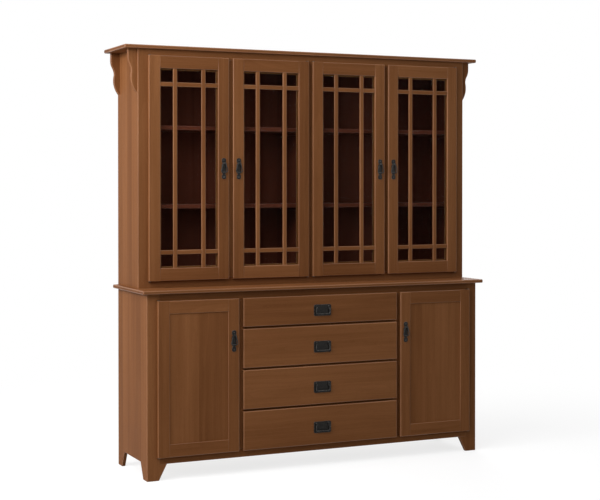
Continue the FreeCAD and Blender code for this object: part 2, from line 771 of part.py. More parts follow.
def corbel(name, y):
    """S-shaped bracket on the right side: straight lip, scoop of two equal arcs, belly curving in below."""
    places = {
        "wall_top": ("0", "0"),
        "lip_top": ("corbel_reach", "0"),
        "lip_end": ("corbel_reach", "-corbel_straight"),
        "waist": ("corbel_waist_reach", "-corbel_waist_drop"),
        "belly": ("corbel_belly_reach", "-corbel_belly_drop"),
        "foot": ("0", "-corbel_height"),
    }
    spots = {spot: FreeCAD.Vector(value(u), value(v), 0) for spot, (u, v) in places.items()}
    # The scoop's arcs meet half way down, and a shallow arc has a quarter of its bow at half its height
    scoop = spots["waist"] - spots["lip_end"]
    turn = spots["lip_end"] + scoop / 2
    bow = FreeCAD.Vector(scoop.x / 8, scoop.y / 4, 0)
    body = doc.addObject("PartDesign::Body", name)
    sketch = start_sketch(body, "XZ_Plane")
    top, lip, upper_scoop, lower_scoop, belly, wall, belly_point = sketch.addGeometry([
        Part.LineSegment(spots["wall_top"], spots["lip_top"]),
        Part.LineSegment(spots["lip_top"], spots["lip_end"]),
        Part.ArcOfCircle(spots["lip_end"], spots["lip_end"] + bow, turn),
        Part.ArcOfCircle(turn, spots["waist"] - bow, spots["waist"]),
        Part.ArcOfCircle(spots["waist"], spots["belly"], spots["foot"]),
        Part.LineSegment(spots["foot"], spots["wall_top"]),
        Part.Point(spots["belly"]),
    ], False)
    sketch.setConstruction(belly_point, True)
    sketch.addConstraint([
        Sketcher.Constraint("Coincident", top, END, lip, START),
        Sketcher.Constraint("Tangent", lip, END, upper_scoop, END),
        Sketcher.Constraint("Tangent", upper_scoop, START, lower_scoop, START),
        Sketcher.Constraint("Coincident", lower_scoop, END, belly, END),
        Sketcher.Constraint("Coincident", belly, START, wall, START),
        Sketcher.Constraint("Coincident", wall, END, top, START),
        Sketcher.Constraint("Equal", upper_scoop, lower_scoop),
        Sketcher.Constraint("Horizontal", lower_scoop, CENTRE, lower_scoop, END),
        Sketcher.Constraint("PointOnObject", belly_point, START, belly),
    ])
    fix_point(sketch, top, START, *places["wall_top"])
    fix_point(sketch, lip, START, *places["lip_top"])
    fix_point(sketch, lip, END, *places["lip_end"])
    fix_point(sketch, lower_scoop, END, *places["waist"])
    fix_point(sketch, belly, START, *places["foot"])
    fix_point(sketch, belly_point, START, *places["belly"])
    pad_sketch(body, sketch, "corbel_thickness", reverse=True)
    return place(body, "half_width", y, "hutch_under_top")


def make_corbels():
    """Four brackets under the hutch top, near the front and back edge of each side."""
    corbels = []
    levels = {"front": "hutch_front + corbel_inset", "back": "back_face - corbel_inset - corbel_thickness"}
    for end, y in levels.items():
        right = corbel(f"right_{end}_corbel", y)
        left = doc.addObject("Part::Mirroring", f"left_{end}_corbel")
        left.Source = right
        left.Normal = FreeCAD.Vector(1, 0, 0)
        corbels += [right, left]
    node(group("corbels", corbels))


def check_document():
    """Stop if any object failed or any sub-part has no sound shape."""
    for item in doc.Objects:
        if "Invalid" in item.State or "Error" in item.State:
            raise RuntimeError(f"{item.Label} failed: {item.State}")
    for item in nodes:
        shape = item.Shape
        if shape.isNull() or not shape.isValid() or not shape.Solids:
            raise RuntimeError(f"{item.Label} has no sound shape")


def write_parts():
    os.makedirs("parts", exist_ok=True)
    for item in nodes:
        item.Shape.exportStep(f"parts/{item.Label}.step")


fill_sheet()
for leaf_door in DOORS:
    complete_door(leaf_door)
make_base_carcass()
make_base_face_frame()
make_hutch_carcass()
make_hutch_face_frame()
make_backs()
make_shelves()
make_corbels()
make_hinges()
make_catches()
make_runners()
for leaf_door in DOORS:
    if leaf_door["glazed"]:
        make_glass_door(leaf_door)
    else:
        make_panel_door(leaf_door)
    pull_place = (leaf_door["pull_x"], leaf_door["face"], leaf_door["pull_z"])
    make_pull(f"{leaf_door['name']}_pull", "door", *pull_place)
for drawer_number in range(1, DRAWER_COUNT + 1):
    make_drawer(drawer_number)
doc.recompute()
check_document()
write_parts()
print(len(nodes), "sub-parts")
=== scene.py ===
import json
import math
import random

import bmesh
import bpy
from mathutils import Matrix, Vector

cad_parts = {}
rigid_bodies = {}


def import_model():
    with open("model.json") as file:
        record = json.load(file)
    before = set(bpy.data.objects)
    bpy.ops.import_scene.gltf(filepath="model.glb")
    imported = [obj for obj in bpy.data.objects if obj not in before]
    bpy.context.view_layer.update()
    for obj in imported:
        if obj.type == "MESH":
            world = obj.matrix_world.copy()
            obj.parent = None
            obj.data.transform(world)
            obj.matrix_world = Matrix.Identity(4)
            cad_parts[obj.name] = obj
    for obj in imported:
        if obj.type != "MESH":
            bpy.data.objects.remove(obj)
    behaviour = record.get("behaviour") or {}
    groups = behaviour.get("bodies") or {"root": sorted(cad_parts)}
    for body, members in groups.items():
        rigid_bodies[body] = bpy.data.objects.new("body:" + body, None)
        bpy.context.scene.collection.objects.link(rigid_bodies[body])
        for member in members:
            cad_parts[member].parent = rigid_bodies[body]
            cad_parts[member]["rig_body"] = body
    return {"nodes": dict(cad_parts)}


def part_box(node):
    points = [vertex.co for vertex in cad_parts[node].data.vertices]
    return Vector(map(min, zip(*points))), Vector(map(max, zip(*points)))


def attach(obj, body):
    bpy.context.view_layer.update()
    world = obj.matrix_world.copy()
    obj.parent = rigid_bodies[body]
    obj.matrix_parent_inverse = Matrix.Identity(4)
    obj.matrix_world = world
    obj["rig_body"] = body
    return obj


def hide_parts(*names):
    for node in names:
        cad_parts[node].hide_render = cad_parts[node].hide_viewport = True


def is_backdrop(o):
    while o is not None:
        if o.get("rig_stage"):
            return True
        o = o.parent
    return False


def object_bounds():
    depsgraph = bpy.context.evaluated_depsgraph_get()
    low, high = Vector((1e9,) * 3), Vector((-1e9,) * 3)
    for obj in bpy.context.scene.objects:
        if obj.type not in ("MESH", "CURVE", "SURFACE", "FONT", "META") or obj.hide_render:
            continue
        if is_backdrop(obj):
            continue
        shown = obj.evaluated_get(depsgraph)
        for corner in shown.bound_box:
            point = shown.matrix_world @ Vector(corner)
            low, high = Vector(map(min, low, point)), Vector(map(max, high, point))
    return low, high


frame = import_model()
cad_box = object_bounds()
chance = random.Random(11)

MM = 0.001
X, Y, Z = 0, 1, 2

# Camera, fitted to the photograph
IMAGE_WIDTH = 600
SENSOR_WIDTH = 36
FOCAL_PIXELS = 1347.2
AXIS_ABOVE_CENTRE = 50
CAMERA_PLACE = (-2.9457, -6.3018, 1.4167)
CAMERA_YAW = 24.935
CAMERA_PITCH = -0.691

# Studio light: place, point aimed at, width and height in metres, power in watts, colour
LAMPS = {
    "side_key": ((-5.5, -0.6, 3.0), (-0.3, 0.0, 1.15), (2.2, 2.2), 226, (1.0, 1.0, 1.0)),
    "front_left": ((-2.8, -2.0, 3.0), (-0.4, 0.0, 1.5), (1.8, 1.8), 58, (1.0, 1.0, 1.0)),
    "front": ((-1.0, -2.2, 2.2), (-0.6, 0.0, 1.5), (1.8, 1.8), 8, (1.0, 1.0, 1.0)),
    "overhead": ((-0.6, -1.1, 4.4), (-0.3, -0.1, 0.9), (2.0, 2.0), 26, (1.0, 1.0, 1.0)),
    "right_fill": ((3.6, -5.5, 2.4), (0.2, 0.0, 1.0), (3.0, 3.0), 62, (0.86, 0.94, 1.0)),
    "back": ((2.6, 5.2, 3.2), (0.0, 0.2, 1.05), (3.0, 3.0), 190, (1.0, 1.0, 1.0)),
}
AMBIENT = 0.06
BACKGROUND = 1.0

# Floor: its size, where its shadow fades to white, and its greys
FLOOR_RADIUS = 4.5
FLOOR_CORNERS = 96
SHADOW_RADIUS = 1.6
WHITE_RADIUS = 3.2
FLOOR_GREY = (0.32, 0.32, 0.32, 1.0)
FLOOR_LIFT = 0.78
FLOOR_BOUNCE = (0.45, 0.45, 0.45, 1.0)
WHITE = (1.0, 1.0, 1.0, 1.0)

# Edges of boards and plates, as radii of their rounds
ARRIS = 2.5 * MM
TOP_ARRIS = 6.0 * MM
FRONT_ARRIS = 4.0 * MM
PANEL_ARRIS = 3.0 * MM
JOINT_ARRIS = 0.25 * MM
IRON_ARRIS = 0.7 * MM
WIDEST_ARRIS = TOP_ARRIS

# Limits of a round: shares of the board's thickness and of the edges beside it, and its steps
ARRIS_SHARE = 0.3
ROUND_SHARE = 0.45
ARRIS_STEPS = 4

# Which edges are rounded, how near is touching, and the digits that corners are compared to
SHORT_EDGE = 1.0 * MM
SHARP_EDGE = math.radians(35)
FLAT_EDGE = math.radians(0.6)
SAME_WAY = 0.7
TOUCH = 0.1 * MM
PROBE = 0.4 * MM
ROOM_PROBE = 2.0 * MM
CUT_MARGIN = 1.0 * MM
CUT_SLACK = 0.001 * MM
MERGE = 0.0001 * MM
DIGITS = 5

# Planks of the boards, each from its own place in a log
PLANK_WIDTH = 78 * MM
LOG_LENGTH = 30.0
PLANK_NUMBERS = 1000
NUMBERS_APART = 10
END_FACING = 0.9
LOG_SPREAD = (0.09, 0.12, 4.0)
LOG_START = (-0.045, 0.05, 0.0)

# Grain: waves in a metre across and along the wood, and the share of each in its tone
GRAIN = {
    "bend": (5.0, 0.9),
    "streaks": (42.0, 0.8),
    "fibres": (620.0, 11.0),
    "blotch": (6.0, 1.6),
    "pores": (1300.0, 55.0),
}
GRAIN_BEND = 0.05
TONE = {"rings": 0.11, "streaks": 0.62, "fibres": 0.26, "blotch": 0.46, "plank": 0.36}
TONE_LOW, TONE_HIGH = 0.53, 1.28

# Wood colours, dark to light, and what pores, end grain and worn edges multiply them by; the worn-edge
# factor is partly wear and partly a painted highlight on the rounds
STAIN = ((0.140, 0.051, 0.0170), (0.205, 0.0790, 0.0280), (0.265, 0.108, 0.0410))
# Inside the hutch the stain is darker and redder: painted shade for the dim space behind the glass
INSIDE_STAIN_AND_SHADE = ((0.125, 0.031, 0.0180), (0.172, 0.045, 0.0265), (0.210, 0.059, 0.0350))
PLAIN = ((0.36, 0.21, 0.095), (0.46, 0.29, 0.145), (0.55, 0.37, 0.20))
PORE_SHADE = (0.35, 0.30, 0.28)
PORE_SHARE = 0.28
END_SHADE = (0.5, 0.45, 0.4)
END_SHARE = 0.45
EDGE_WEAR_AND_HIGHLIGHT = (1.7, 1.9, 2.2)
WEAR_AND_HIGHLIGHT_LEAST, WEAR_AND_HIGHLIGHT_MOST = 0.05, 0.45
STAIN_ROUGHNESS = 0.46
PLAIN_ROUGHNESS = 0.55
FLAT_SHEEN = 0.022
ARRIS_SHEEN = 0.4

# Metal and glass: colours, wear and painted highlight of loops and screws, and the mirror of the panes
IRON_DARK = (0.0070, 0.0062, 0.0056)
IRON_LIGHT = (0.0170, 0.0150, 0.0132)
IRON_WORN_HIGHLIGHT = (0.160, 0.150, 0.140)
BAIL_WEAR_AND_HIGHLIGHT = 0.35
SCREW_WEAR_AND_HIGHLIGHT = 0.5
STEEL_DARK = (0.045, 0.036, 0.028)
STEEL_LIGHT = (0.085, 0.070, 0.055)
PANE_DARK = (0.86, 0.88, 0.86)
PANE_LIGHT = (0.90, 0.91, 0.89)
PANE_MIRROR = (0.9, 0.9, 0.9, 1.0)
PANE_IOR = 1.035

# Pulls: loops, screws and plates
EYE_REACH = 3.5 * MM
EYE_BORE = 1.65 * MM
EYE_ROUND = 0.3 * MM
LEG_SINK = 1.3 * MM
BAR_SIDES = 20
ARC_STEPS = 10
ROUND_STEPS = 24
BAR_SQUARENESS = 0.75
BAR_SWELL = 0.12
PULLS = {
    "drawer": {
        "top_width": 82 * MM,
        "bottom_width": 82 * MM,
        "bar": 6 * MM,
        "bend": 8 * MM,
        "screws": ((-34 * MM, 21 * MM), (34 * MM, 21 * MM)),
    },
    "door": {
        "top_width": 20 * MM,
        "bottom_width": 42 * MM,
        "bar": 5 * MM,
        "bend": 8 * MM,
        "screws": ((0, 42 * MM), (0, -42 * MM)),
    },
}
SCREW_RADIUS = 3.6 * MM
SCREW_RISE = 1.7 * MM
SCREW_SINK = 0.3 * MM
DOME_STEPS = 5
PLATE_THICKNESS = 3 * MM


# Meshes

def closed_solids(mesh):
    """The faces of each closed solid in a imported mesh, as lists of corner points."""
    solids = []
    faces = []
    open_edges = set()
    for polygon in mesh.polygons:
        corners = [tuple(round(c, DIGITS) for c in mesh.vertices[v].co) for v in polygon.vertices]
        faces.append(corners)
        for start, end in zip(corners, corners[1:] + corners[:1]):
            if (end, start) in open_edges:
                open_edges.remove((end, start))
            else:
                open_edges.add((start, end))
        if not open_edges:
            solids.append(faces)
            faces = []
    return solids


def box_of(faces):
    """Lowest and highest corner of a solid."""
    points = [corner for face in faces for corner in face]
    low = Vector([min(point[axis] for point in points) for axis in (X, Y, Z)])
    high = Vector([max(point[axis] for point in points) for axis in (X, Y, Z)])
    return low, high


def holds(box, point):
    """Whether a box holds a point."""
    low, high = box
    return all(low[axis] < point[axis] < high[axis] for axis in (X, Y, Z))


def touches(one, other):
    """Whether two boxes meet."""
    return all(one[0][axis] < other[1][axis] + TOUCH and other[0][axis] < one[1][axis] + TOUCH
               for axis in (X, Y, Z))


def slot_of(node):
    """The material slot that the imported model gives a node."""
    return frame["nodes"][node].data.materials[0].name


def body_of(node):
    """The body that a node rides on."""
    return frame["nodes"][node]["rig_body"]


WOODS = ("stained_wood", "plain_wood")
solids_of = {node: closed_solids(item.data) for node, item in frame["nodes"].items()}
wood_boxes = {}
for wood_node in solids_of:
    if slot_of(wood_node) in WOODS:
        boxes = [box_of(solid) for solid in solids_of[wood_node]]
        wood_boxes.setdefault(body_of(wood_node), []).extend(boxes)


def covered(edge, neighbours):
    """Whether a neighbour lies on either face of an edge."""
    middle = (edge.verts[0].co + edge.verts[1].co) / 2
    one, other = [face.normal * PROBE for face in edge.link_faces]
    probes = (middle + one - other, middle + other - one)
    return any(holds(neighbour, probe) for neighbour in neighbours for probe in probes)


def split_edge(edge, neighbours):
    """Puts points on an edge where the neighbours that touch it end."""
    start, end = [vertex.co.copy() for vertex in edge.verts]
    length = (end - start).length
    axis = max((X, Y, Z), key=lambda direction: abs(end[direction] - start[direction]))
    if abs(end[axis] - start[axis]) < length - TOUCH:
        return
    across = [direction for direction in (X, Y, Z) if direction != axis]
    steps = set()
    for low, high in neighbours:
        if all(low[side] - PROBE < start[side] < high[side] + PROBE for side in across):
            steps |= {round(abs(stop[axis] - start[axis]), DIGITS) for stop in (low, high)
                      if (stop[axis] - start[axis]) * (end[axis] - start[axis]) > 0}
    vertex = edge.verts[0]
    done = 0.0
    for step in sorted(steps):
        if done + CUT_MARGIN < step < length - CUT_MARGIN:
            vertex = bmesh.utils.edge_split(edge, vertex, (step - done) / (length - done))[1]
            done = step


def round_room(edge):
    """The widest round that the edges beside an edge leave room for."""
    along = (edge.verts[1].co - edge.verts[0].co).normalized()
    room = WIDEST_ARRIS
    for vertex in edge.verts:
        for other in vertex.link_edges:
            beside = (other.verts[1].co - other.verts[0].co).normalized()
            if abs(along.dot(beside)) < SAME_WAY:
                room = min(room, ROUND_SHARE * other.calc_length())
    return room


def loops_of(edges):
    """Sorts edges into groups that hang together."""
    left = set(edges)
    loops = []
    for first in edges:
        if first not in left:
            continue
        left.remove(first)
        loop = [first]
        for edge in loop:
            for vertex in edge.verts:
                joined = [other for other in vertex.link_edges if other in left]
                left.difference_update(joined)
                loop.extend(joined)
        loops.append(loop)
    return loops


def holed_faces(bm):
    """The flat faces of a solid that have holes, with their outer edges and the rims of the holes."""
    found = []
    seen = set()
    for face in bm.faces:
        if face in seen:
            continue
        seen.add(face)
        flat = [face]
        border = []
        for part in flat:
            for edge in part.edges:
                if edge.calc_face_angle(0) > FLAT_EDGE:
                    border.append(edge)
                    continue
                beyond = [other for other in edge.link_faces if other not in seen]
                seen.update(beyond)
                flat.extend(beyond)
        loops = sorted(loops_of(border), key=lambda loop: sum(edge.calc_length() for edge in loop))
        if len(loops) > 1:
            found.append((flat, loops[-1], loops[:-1]))
    return found


def span_of(edges, axis):
    """Where a group of edges starts and ends along an axis."""
    places = [vertex.co[axis] for edge in edges for vertex in edge.verts]
    return min(places), max(places)


def open_holes(bm, rim):
    """Marks the rims of holes and cuts each holed face straight across, through its holes."""
    cuts = []
    for flat, outer, holes in holed_faces(bm):
        spans = [span_of(outer, axis) for axis in (X, Y, Z)]
        axis = max((X, Y, Z), key=lambda direction: spans[direction][1] - spans[direction][0])
        cuts.append((flat, axis, {round(sum(span_of(hole, axis)) / 2, DIGITS) for hole in holes}))
        for hole in holes:
            for edge in hole:
                edge[rim] = 1
    for flat, axis, places in cuts:
        edges = dict.fromkeys(edge for face in flat for edge in face.edges)
        points = dict.fromkeys(vertex for face in flat for vertex in face.verts)
        pieces = [*flat, *edges, *points]
        across = Vector()
        across[axis] = 1.0
        for place in sorted(places):
            plane = {"plane_co": across * place, "plane_no": across}
            done = bmesh.ops.bisect_plane(bm, geom=pieces, dist=CUT_SLACK, **plane)
            pieces = done["geom"]
            for piece in done["geom_cut"]:
                if isinstance(piece, bmesh.types.BMEdge):
                    piece.seam = True


def solid_mesh(number, faces, neighbours, edge_width):
    """One numbered solid, with the round of each edge as a bevel weight."""
    bm = bmesh.new()
    board = bm.faces.layers.int.new("board")
    rim = bm.edges.layers.int.new("rim")
    weight = bm.edges.layers.float.new("bevel_weight_edge")
    corners = {}
    for face in faces:
        for corner in face:
            if corner not in corners:
                corners[corner] = bm.verts.new(corner)
        bm.faces.new([corners[corner] for corner in face])
    bm.normal_update()
    open_holes(bm, rim)
    bmesh.ops.dissolve_limit(bm, angle_limit=FLAT_EDGE, verts=bm.verts[:], edges=bm.edges[:],
                             delimit={"SEAM"})
    for edge in bm.edges[:]:
        if edge.calc_face_angle(0) > FLAT_EDGE:
            split_edge(edge, neighbours)
    low, high = box_of(faces)
    widest = ARRIS_SHARE * min(high - low)
    bm.normal_update()
    for face in bm.faces:
        face[board] = number
    for edge in bm.edges:
        if edge[rim] or edge.calc_length() < SHORT_EDGE:
            continue
        if edge.calc_face_angle_signed(0) > SHARP_EDGE:
            width = JOINT_ARRIS if covered(edge, neighbours) else min(edge_width(edge), widest)
            edge[weight] = min(width, round_room(edge)) / WIDEST_ARRIS
    mesh = bpy.data.meshes.new("solid")
    bm.to_mesh(mesh)
    bm.free()
    return mesh


def rounded_mesh(node, edge_width, joined):
    """A node's solids with rounded edges, each face's solid number, and 1 for each face of a round."""
    bm = bmesh.new()
    for number, faces in enumerate(solids_of[node]):
        own = box_of(faces)
        neighbours = [box for box in joined if touches(own, box) and box != own]
        solid = solid_mesh(number, faces, neighbours, edge_width)
        bm.from_mesh(solid)
        bpy.data.meshes.remove(solid)
    plain = bpy.data.meshes.new(f"{node}_plain")
    bm.to_mesh(plain)
    bm.free()
    for mark in ("plain", "round"):
        plain.materials.append(bpy.data.materials.get(mark) or bpy.data.materials.new(mark))
    stand_in = bpy.data.objects.new(f"{node}_plain", plain)
    bpy.context.scene.collection.objects.link(stand_in)
    bevel = stand_in.modifiers.new("arris", "BEVEL")
    bevel.width = WIDEST_ARRIS
    bevel.segments = ARRIS_STEPS
    bevel.limit_method = "WEIGHT"
    bevel.use_clamp_overlap = False
    bevel.loop_slide = False
    bevel.material = 1
    ready = stand_in.evaluated_get(bpy.context.evaluated_depsgraph_get())
    mesh = bpy.data.meshes.new_from_object(ready)
    bpy.data.objects.remove(stand_in)
    bpy.data.meshes.remove(plain)
    boards = [item.value for item in mesh.attributes["board"].data]
    rounds = [float(polygon.material_index == 1) for polygon in mesh.polygons]
    for polygon in mesh.polygons:
        polygon.material_index = 0
        polygon.use_smooth = True
    mesh.materials.clear()
    mesh.set_sharp_from_angle(angle=SHARP_EDGE)
    return mesh, boards, rounds


def note(mesh, name, kind, domain, values):
    """Keeps one value for each point or face of a mesh, for the materials to read."""
    attribute = mesh.attributes.new(name, kind, domain)
    key = "vector" if kind == "FLOAT_VECTOR" else "value"
    for item, value in zip(attribute.data, values):
        setattr(item, key, value)


def put_piece(name, mesh, node, material):
    """Puts a finished piece in the place of a node."""
    mesh.name = name
    mesh.materials.append(material)
    piece = bpy.data.objects.new(name, mesh)
    bpy.context.scene.collection.objects.link(piece)
    piece.modifiers.new("normals", "WEIGHTED_NORMAL").keep_sharp = True
    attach(piece, body_of(node))
    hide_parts(node)
    return piece


# Materials

def start_material(name):
    """An empty node material and its output."""
    material = bpy.data.materials.new(name)
    material.use_nodes = True
    material.node_tree.nodes.clear()
    output = material.node_tree.nodes.new("ShaderNodeOutputMaterial")
    return material, material.node_tree, output


def add(tree, kind, sockets, **settings):
    """Adds a shader node; a socket given as a value is linked, and a number or colour is set."""
    made = tree.nodes.new(kind)
    for name, setting in settings.items():
        setattr(made, name, setting)
    for name, given in sockets.items():
        if isinstance(given, bpy.types.NodeSocket):
            tree.links.new(given, made.inputs[name])
        else:
            made.inputs[name].default_value = given
    return made


def sums(tree, operation, *given):
    """One step of arithmetic."""
    return add(tree, "ShaderNodeMath", dict(enumerate(given)), operation=operation).outputs[0]


def noted(tree, name, output="Fac"):
    """A value kept with the mesh."""
    return add(tree, "ShaderNodeAttribute", {}, attribute_name=name).outputs[output]


def stretched(tree, place, across, along):
    """A place in the wood, scaled across and along the grain."""
    scaled = {0: place, 1: (across, across, along)}
    return add(tree, "ShaderNodeVectorMath", scaled, operation="MULTIPLY").outputs[0]


def noise(tree, place, scale=1.0, detail=2.0, roughness=0.5):
    """Smooth noise from 0 to 1."""
    sockets = {"Vector": place, "Scale": scale, "Detail": detail, "Roughness": roughness}
    return add(tree, "ShaderNodeTexNoise", sockets).outputs["Fac"]


def ramp(tree, factor, stops):
    """A colour or level picked by a factor; stops are (position, colour)."""
    made = add(tree, "ShaderNodeValToRGB", {"Fac": factor})
    while len(made.color_ramp.elements) < len(stops):
        made.color_ramp.elements.new(1.0)
    for element, (position, colour) in zip(made.color_ramp.elements, stops):
        element.position = position
        element.color = (*colour, 1.0)
    return made.outputs["Color"]


def spread(tree, value, low, high, new_low, new_high):
    """A value carried from one range to another, held at the ends."""
    sockets = {"Value": value, "From Min": low, "From Max": high, "To Min": new_low, "To Max": new_high}
    return add(tree, "ShaderNodeMapRange", sockets).outputs["Result"]


def mix(tree, factor, one, other, blend="MIX"):
    """Two colours mixed."""
    made = add(tree, "ShaderNodeMix", {"Factor": factor}, data_type="RGBA", blend_type=blend)
    for socket, given in (("A", one), ("B", other)):
        target = next(item for item in made.inputs if item.name == socket and item.type == "RGBA")
        if isinstance(given, bpy.types.NodeSocket):
            tree.links.new(given, target)
        else:
            target.default_value = (*given, 1.0)
    return next(item for item in made.outputs if item.type == "RGBA")


def wood_grain(tree):
    """Figure, fibre and pores of the wood, and the chance value of each plank."""
    plank = sums(tree, "FLOOR", noted(tree, "board_plank"))
    drawn = add(tree, "ShaderNodeTexWhiteNoise", {"W": plank}, noise_dimensions="1D")
    shift = {0: drawn.outputs["Color"], 1: LOG_SPREAD, 2: LOG_START}
    shift = add(tree, "ShaderNodeVectorMath", shift, operation="MULTIPLY_ADD").outputs[0]
    place = {0: noted(tree, "board_place", "Vector"), 1: shift}
    place = add(tree, "ShaderNodeVectorMath", place, operation="ADD").outputs[0]
    bend = noise(tree, stretched(tree, place, *GRAIN["bend"]), detail=2.0)
    bend = sums(tree, "MULTIPLY_ADD", bend, GRAIN_BEND, -GRAIN_BEND / 2)
    bent = add(tree, "ShaderNodeVectorMath", {0: place, 1: bend}, operation="ADD").outputs[0]
    rings = {"Vector": bent, "Scale": 62.0, "Distortion": 1.2, "Detail": 2.0, "Detail Scale": 1.5}
    rings = add(tree, "ShaderNodeTexWave", rings, wave_type="RINGS", rings_direction="Z",
                wave_profile="SAW").outputs["Fac"]
    streaks = noise(tree, stretched(tree, bent, *GRAIN["streaks"]), detail=4.0, roughness=0.55)
    fibres = noise(tree, stretched(tree, place, *GRAIN["fibres"]), detail=3.0, roughness=0.6)
    blotch = noise(tree, stretched(tree, place, *GRAIN["blotch"]), detail=3.0)
    pores = noise(tree, stretched(tree, place, *GRAIN["pores"]), detail=1.0)
    pores = spread(tree, pores, 0.60, 0.72, 0.0, 1.0)
    return {"rings": rings, "streaks": streaks, "fibres": fibres, "blotch": blotch, "pores": pores,
            "plank": drawn.outputs["Value"]}


def wood_material(name, stain, inside_stain_and_shade, roughness):
    """Wood with colours for its dark, middle and light tones, outside and inside the hutch, the inside
    ones darkened as painted shade; rounds are brightened partly as wear and partly as a painted
    highlight.
    """
    material, tree, output = start_material(name)
    grain = wood_grain(tree)
    tone = 0.0
    for part, share in TONE.items():
        tone = sums(tree, "MULTIPLY_ADD", grain[part], share, tone)
    tone = spread(tree, tone, TONE_LOW, TONE_HIGH, 0.0, 1.0)
    outside = ramp(tree, tone, list(zip((0.0, 0.5, 1.0), stain)))
    inside = ramp(tree, tone, list(zip((0.0, 0.5, 1.0), inside_stain_and_shade)))
    # Faces inside the hutch take the darker inside colours, which are painted shade
    colour = mix(tree, noted(tree, "inside"), outside, inside)
    pores = sums(tree, "MULTIPLY", grain["pores"], PORE_SHARE)
    colour = mix(tree, pores, colour, PORE_SHADE, "MULTIPLY")
    ends = sums(tree, "MULTIPLY", noted(tree, "end_grain"), END_SHARE)
    colour = mix(tree, ends, colour, END_SHADE, "MULTIPLY")
    # Brightens the rounded edges: partly wear, partly a painted highlight where edges catch the light
    wear_and_highlight = spread(tree, grain["blotch"], 0.35, 0.7, WEAR_AND_HIGHLIGHT_LEAST, WEAR_AND_HIGHLIGHT_MOST)
    wear_and_highlight = sums(tree, "MULTIPLY", noted(tree, "arris"), wear_and_highlight)
    colour = mix(tree, wear_and_highlight, colour, EDGE_WEAR_AND_HIGHLIGHT, "MULTIPLY")
    height = sums(tree, "MULTIPLY_ADD", grain["pores"], -0.8, grain["fibres"])
    bump = {"Strength": 0.12, "Distance": 0.0004, "Height": height}
    bump = add(tree, "ShaderNodeBump", bump).outputs["Normal"]
    rough = spread(tree, grain["fibres"], 0.3, 0.7, roughness - 0.06, roughness + 0.08)
    rough = sums(tree, "MULTIPLY_ADD", grain["pores"], 0.12, rough)
    sheen = spread(tree, noted(tree, "arris"), 0.0, 1.0, FLAT_SHEEN, ARRIS_SHEEN)
    shader = {"Base Color": colour, "Roughness": rough, "Normal": bump, "Specular IOR Level": sheen}
    shader = add(tree, "ShaderNodeBsdfPrincipled", shader)
    tree.links.new(shader.outputs["BSDF"], output.inputs["Surface"])
    return material


def iron_material():
    """Blackened iron, lightly hammered, brighter along its edges, partly from wear and partly as a
    painted highlight.
    """
    material, tree, output = start_material("hammered_iron")
    place = add(tree, "ShaderNodeTexCoord", {}).outputs["Object"]
    dents = {"Vector": place, "Scale": 210.0, "Smoothness": 0.6}
    dents = add(tree, "ShaderNodeTexVoronoi", dents, feature="SMOOTH_F1").outputs["Distance"]
    cloud = noise(tree, place, 120.0, 4.0)
    grit = noise(tree, place, 900.0, 3.0)
    colour = ramp(tree, cloud, [(0.3, IRON_DARK), (0.7, IRON_LIGHT)])
    # Paler grey on rounds, loops and screw heads: partly wear, partly a painted highlight
    wear_and_highlight = sums(tree, "MULTIPLY", noted(tree, "arris"), spread(tree, cloud, 0.4, 0.65, 0.2, 0.9))
    colour = mix(tree, wear_and_highlight, colour, IRON_WORN_HIGHLIGHT)
    rough = spread(tree, grit, 0.3, 0.7, 0.30, 0.52)
    height = sums(tree, "MULTIPLY_ADD", grit, 0.12, dents)
    bump = add(tree, "ShaderNodeBump", {"Strength": 0.35, "Distance": 0.0012, "Height": height})
    shader = {"Base Color": colour, "Roughness": rough, "Normal": bump.outputs["Normal"],
              "Metallic": 0.55, "Specular IOR Level": 0.2}
    shader = add(tree, "ShaderNodeBsdfPrincipled", shader)
    tree.links.new(shader.outputs["BSDF"], output.inputs["Surface"])
    return material


def steel_material():
    """Dark bronzed steel with a drawn grain, for hinges and catches."""
    material, tree, output = start_material("bronzed_steel")
    place = add(tree, "ShaderNodeTexCoord", {}).outputs["Object"]
    drawn = noise(tree, stretched(tree, place, 900.0, 60.0), detail=2.0)
    cloud = noise(tree, place, 60.0, 3.0)
    colour = ramp(tree, cloud, [(0.3, STEEL_DARK), (0.7, STEEL_LIGHT)])
    rough = spread(tree, drawn, 0.3, 0.7, 0.32, 0.5)
    bump = add(tree, "ShaderNodeBump", {"Strength": 0.15, "Distance": 0.0002, "Height": drawn})
    shader = {"Base Color": colour, "Roughness": rough, "Normal": bump.outputs["Normal"],
              "Metallic": 0.85}
    shader = add(tree, "ShaderNodeBsdfPrincipled", shader)
    tree.links.new(shader.outputs["BSDF"], output.inputs["Surface"])
    return material


def glass_material():
    """Clear pane: lets the inside show through, with a weak mirror that has a faint wave."""
    material, tree, output = start_material("cabinet_glass")
    place = add(tree, "ShaderNodeTexCoord", {}).outputs["Object"]
    wave = noise(tree, place, 9.0, 1.0)
    tint = ramp(tree, noise(tree, place, 3.0, 2.0), [(0.3, PANE_DARK), (0.7, PANE_LIGHT)])
    bump = add(tree, "ShaderNodeBump", {"Strength": 0.05, "Distance": 0.002, "Height": wave})
    clear = add(tree, "ShaderNodeBsdfTransparent", {"Color": tint})
    mirror = {"Color": PANE_MIRROR, "Roughness": 0.04, "Normal": bump.outputs["Normal"]}
    mirror = add(tree, "ShaderNodeBsdfGlossy", mirror)
    amount = add(tree, "ShaderNodeFresnel", {"IOR": PANE_IOR}).outputs["Fac"]
    pane = {"Fac": amount, 1: clear.outputs["BSDF"], 2: mirror.outputs["BSDF"]}
    pane = add(tree, "ShaderNodeMixShader", pane)
    tree.links.new(pane.outputs["Shader"], output.inputs["Surface"])
    return material


